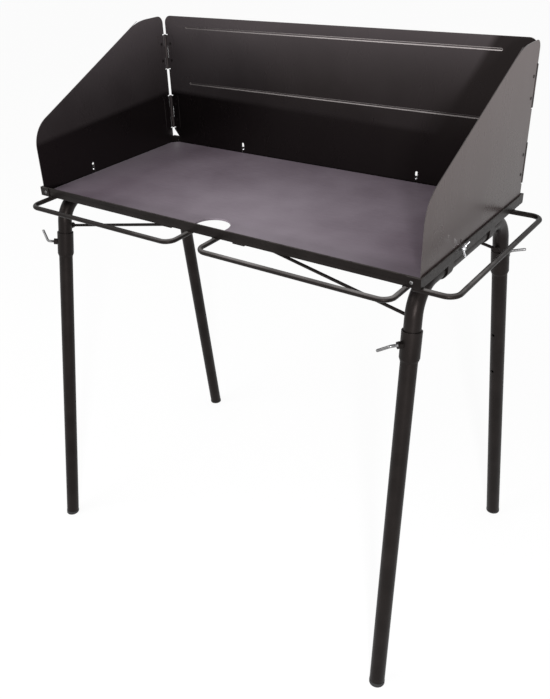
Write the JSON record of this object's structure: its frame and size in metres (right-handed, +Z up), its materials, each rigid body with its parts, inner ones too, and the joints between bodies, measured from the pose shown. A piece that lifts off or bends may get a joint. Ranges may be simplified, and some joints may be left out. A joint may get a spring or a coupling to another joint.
{
  "type": "dutch oven cook table",
  "caption": "folding camp cook table: steel plate in an angle-iron frame, hinged three-sided windscreen, towel bars, and splayed leg frames with coupled braces that fold flat",
  "frame": {"origin": "on the floor under the middle of the frame", "axes": "+Z up, +X to the cook's right, +Y to the back, where the windscreen's back panel stands"},
  "size_m": [1.066, 0.677, 1.212],
  "materials": {
    "frame_paint": "satin dark brown-black paint",
    "screen_enamel": "glossy black enamel",
    "plate_steel": "satin grey-brown heat-proof coat on steel",
    "zinc": "bright zinc plate",
    "foot_rubber": "matt black"
  },
  "bodies": {
    "frame": {"front_rail": "frame_paint", "back_rail": "frame_paint", "left_rail": "frame_paint", "right_rail": "frame_paint", "corner_screws": "zinc", "front_bar_left": "frame_paint", "front_bar_right": "frame_paint", "side_bar_left": "frame_paint", "side_bar_right": "frame_paint", "left_saddles": "frame_paint", "right_saddles": "frame_paint", "front_catches": "frame_paint", "back_catches": "frame_paint"},
    "plate": {"cook_plate": "plate_steel"},
    "windscreen": {"back_panel": "screen_enamel", "left_back_leaves": "screen_enamel", "right_back_leaves": "screen_enamel", "left_hinge_pins": "screen_enamel", "right_hinge_pins": "screen_enamel", "back_rivets": "screen_enamel"},
    "left_screen": {"left_panel": "screen_enamel", "left_side_leaves": "screen_enamel", "left_rivets": "screen_enamel"},
    "right_screen": {"right_panel": "screen_enamel", "right_side_leaves": "screen_enamel", "right_rivets": "screen_enamel"},
    "left_wing": {"left_wing_screw": "zinc"},
    "right_wing": {"right_wing_screw": "zinc"},
    "back_left_wing": {"back_left_wing_screw": "zinc"},
    "back_right_wing": {"back_right_wing_screw": "zinc"},
    "left_legs": {"left_leg_frame": "frame_paint", "left_brace_studs": "frame_paint"},
    "right_legs": {"right_leg_frame": "frame_paint", "right_brace_studs": "frame_paint"},
    "front_left_brace_rod": {"front_left_brace": "frame_paint"},
    "front_left_lower_leg": {"front_left_leg": "frame_paint", "front_left_nut": "frame_paint", "front_left_foot": "foot_rubber"},
    "front_left_clamp_screw": {"front_left_clamp": "zinc"},
    "front_right_brace_rod": {"front_right_brace": "frame_paint"},
    "front_right_lower_leg": {"front_right_leg": "frame_paint", "front_right_nut": "frame_paint", "front_right_foot": "foot_rubber"},
    "front_right_clamp_screw": {"front_right_clamp": "zinc"},
    "back_left_brace_rod": {"back_left_brace": "frame_paint"},
    "back_left_lower_leg": {"back_left_leg": "frame_paint", "back_left_nut": "frame_paint", "back_left_foot": "foot_rubber"},
    "back_left_clamp_screw": {"back_left_clamp": "zinc"},
    "back_right_brace_rod": {"back_right_brace": "frame_paint"},
    "back_right_lower_leg": {"back_right_leg": "frame_paint", "back_right_nut": "frame_paint", "back_right_foot": "foot_rubber"},
    "back_right_clamp_screw": {"back_right_clamp": "zinc"}
  },
  "joints": [
    {"name": "plate_lift", "type": "slide", "parent": "frame", "child": "plate", "axis": [0, 0, 1], "range_m": [0, 0.32]},
    {"name": "windscreen_lift", "type": "slide", "parent": "frame", "child": "windscreen", "axis": [0, 0, 1], "range_m": [0, 0.34]},
    {"name": "left_screen_fold", "type": "hinge", "parent": "windscreen", "child": "left_screen", "pos_m": [-0.4626, 0.2236, 1.06], "axis": [0, 0, 1], "range_deg": [0, 90]},
    {"name": "right_screen_fold", "type": "hinge", "parent": "windscreen", "child": "right_screen", "pos_m": [0.4626, 0.2236, 1.06], "axis": [0, 0, -1], "range_deg": [0, 90]},
    {"name": "left_wing_turn", "type": "hinge", "parent": "frame", "child": "left_wing", "pos_m": [-0.47, -0.07, 0.908], "axis": [-1, 0, 0], "continuous": true},
    {"name": "right_wing_turn", "type": "hinge", "parent": "frame", "child": "right_wing", "pos_m": [0.47, -0.07, 0.908], "axis": [1, 0, 0], "continuous": true},
    {"name": "back_left_wing_turn", "type": "hinge", "parent": "frame", "child": "back_left_wing", "pos_m": [-0.236, 0.231, 0.908], "axis": [0, 1, 0], "continuous": true},
    {"name": "back_right_wing_turn", "type": "hinge", "parent": "frame", "child": "back_right_wing", "pos_m": [0.236, 0.231, 0.908], "axis": [0, 1, 0], "continuous": true},
    {"name": "left_legs_fold", "type": "hinge", "parent": "frame", "child": "left_legs", "pos_m": [-0.444, 0, 0.87444], "axis": [0, -1, 0], "range_deg": [0, 84]},
    {"name": "right_legs_fold", "type": "hinge", "parent": "frame", "child": "right_legs", "pos_m": [0.444, 0, 0.87444], "axis": [0, 1, 0], "range_deg": [0, 90]},
    {"name": "front_left_brace_turn", "type": "hinge", "parent": "left_legs", "child": "front_left_brace_rod", "pos_m": [-0.44651, -0.17939, 0.80624], "axis": [0, -1, 0], "range_deg": [-104.21, 0]},
    {"name": "front_left_leg_slide", "type": "slide", "parent": "left_legs", "child": "front_left_lower_leg", "axis": [-0.0364, -0.1473, -0.9884], "range_m": [0, 0.05]},
    {"name": "front_left_clamp_turn", "type": "hinge", "parent": "front_left_lower_leg", "child": "front_left_clamp_screw", "pos_m": [-0.47126, -0.22497, 0.77672], "axis": [-0.7841, -0.6089, 0.1196], "continuous": true},
    {"name": "front_right_brace_turn", "type": "hinge", "parent": "right_legs", "child": "front_right_brace_rod", "pos_m": [0.44651, -0.17939, 0.80624], "axis": [0, 1, 0], "range_deg": [-104.21, 0]},
    {"name": "front_right_leg_slide", "type": "slide", "parent": "right_legs", "child": "front_right_lower_leg", "axis": [0.0364, -0.1473, -0.9884], "range_m": [0, 0.05]},
    {"name": "front_right_clamp_turn", "type": "hinge", "parent": "front_right_lower_leg", "child": "front_right_clamp_screw", "pos_m": [0.43171, -0.23186, 0.77629], "axis": [-0.5342, -0.8388, 0.1053], "continuous": true},
    {"name": "back_left_brace_turn", "type": "hinge", "parent": "left_legs", "child": "back_left_brace_rod", "pos_m": [-0.44651, 0.17939, 0.80624], "axis": [0, -1, 0], "range_deg": [-104.21, 0]},
    {"name": "back_left_leg_slide", "type": "slide", "parent": "left_legs", "child": "back_left_lower_leg", "axis": [-0.0364, 0.1473, -0.9884], "range_m": [0, 0.05]},
    {"name": "back_left_clamp_turn", "type": "hinge", "parent": "back_left_lower_leg", "child": "back_left_clamp_screw", "pos_m": [-0.47585, 0.21685, 0.77568], "axis": [-0.9372, 0.3383, 0.0849], "continuous": true},
    {"name": "back_right_brace_turn", "type": "hinge", "parent": "right_legs", "child": "back_right_brace_rod", "pos_m": [0.44651, 0.17939, 0.80624], "axis": [0, 1, 0], "range_deg": [-104.21, 0]},
    {"name": "back_right_leg_slide", "type": "slide", "parent": "right_legs", "child": "back_right_lower_leg", "axis": [0.0364, 0.1473, -0.9884], "range_m": [0, 0.05]},
    {"name": "back_right_clamp_turn", "type": "hinge", "parent": "back_right_lower_leg", "child": "back_right_clamp_screw", "pos_m": [0.45381, 0.23572, 0.77768], "axis": [0.2025, 0.9675, 0.1516], "continuous": true}
  ],
  "couplings": [
    {"joint": "front_left_brace_turn", "follows": "left_legs_fold", "ratio": -1.2346},
    {"joint": "front_right_brace_turn", "follows": "right_legs_fold", "ratio": -1.1523},
    {"joint": "back_left_brace_turn", "follows": "left_legs_fold", "ratio": -1.2346},
    {"joint": "back_right_brace_turn", "follows": "right_legs_fold", "ratio": -1.1523}
  ]
}
